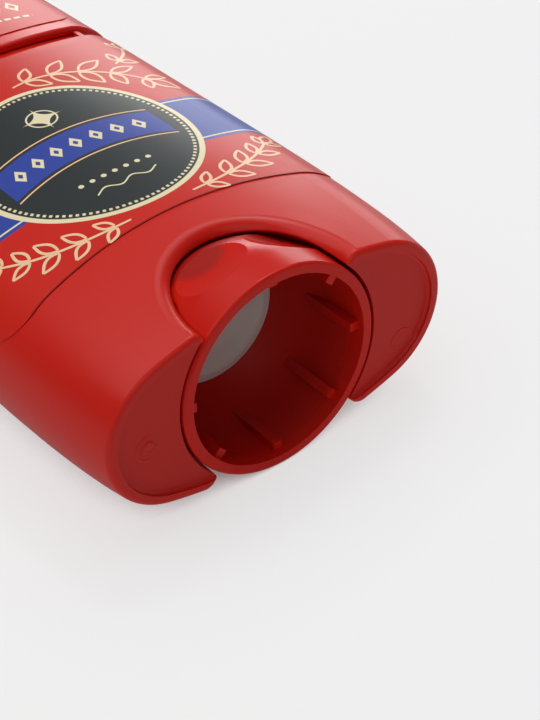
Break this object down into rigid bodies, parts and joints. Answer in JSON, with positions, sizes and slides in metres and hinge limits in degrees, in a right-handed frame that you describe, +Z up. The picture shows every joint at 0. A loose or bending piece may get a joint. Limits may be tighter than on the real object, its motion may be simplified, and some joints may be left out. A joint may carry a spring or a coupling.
{
  "type": "deodorant stick",
  "caption": "Twist-up deodorant stick: flat oval red barrel on two crescent feet, round base knob that winds the stick up, and a lift-off cap.",
  "frame": {"origin": "middle of the plane that the two feet stand on, on the screw axis", "axes": "+Z up along the screw axis to the cap, the labelled front faces -Y, +X to the right as seen from the front"},
  "size_m": [0.0602, 0.032, 0.118],
  "materials": {
    "barrel_red": "glossy moulded red polypropylene",
    "label_film": "printed film, satin gloss",
    "knob_red": "glossy moulded red polypropylene",
    "natural_plastic": "unpigmented milky polypropylene",
    "elevator_plastic": "unpigmented milky polypropylene",
    "deodorant": "waxy off-white solid",
    "cap_red": "glossy moulded red polypropylene",
    "cap_label_film": "printed film, satin gloss"
  },
  "bodies": {
    "barrel": {"barrel": "barrel_red", "front_label": "label_film"},
    "knob": {"knob": "knob_red", "spindle": "natural_plastic"},
    "lift": {"elevator": "elevator_plastic", "deodorant_stick": "deodorant"},
    "cap": {"cap": "cap_red", "cap_label": "cap_label_film"}
  },
  "joints": [
    {"name": "knob_turn", "type": "hinge", "parent": "barrel", "child": "knob", "pos_m": [0, 0, 0.009], "axis": [0, 0, 1], "range_deg": [0, 2700]},
    {"name": "stick_lift", "type": "slide", "parent": "barrel", "child": "lift", "axis": [0, 0, 1], "range_m": [0, 0.045]},
    {"name": "cap_pull", "type": "slide", "parent": "lift", "child": "cap", "axis": [0, 0, 1], "range_m": [0, 0.06]}
  ],
  "couplings": [
    {"joint": "knob_turn", "follows": "stick_lift", "rad_per_m": 1047.2}
  ]
}
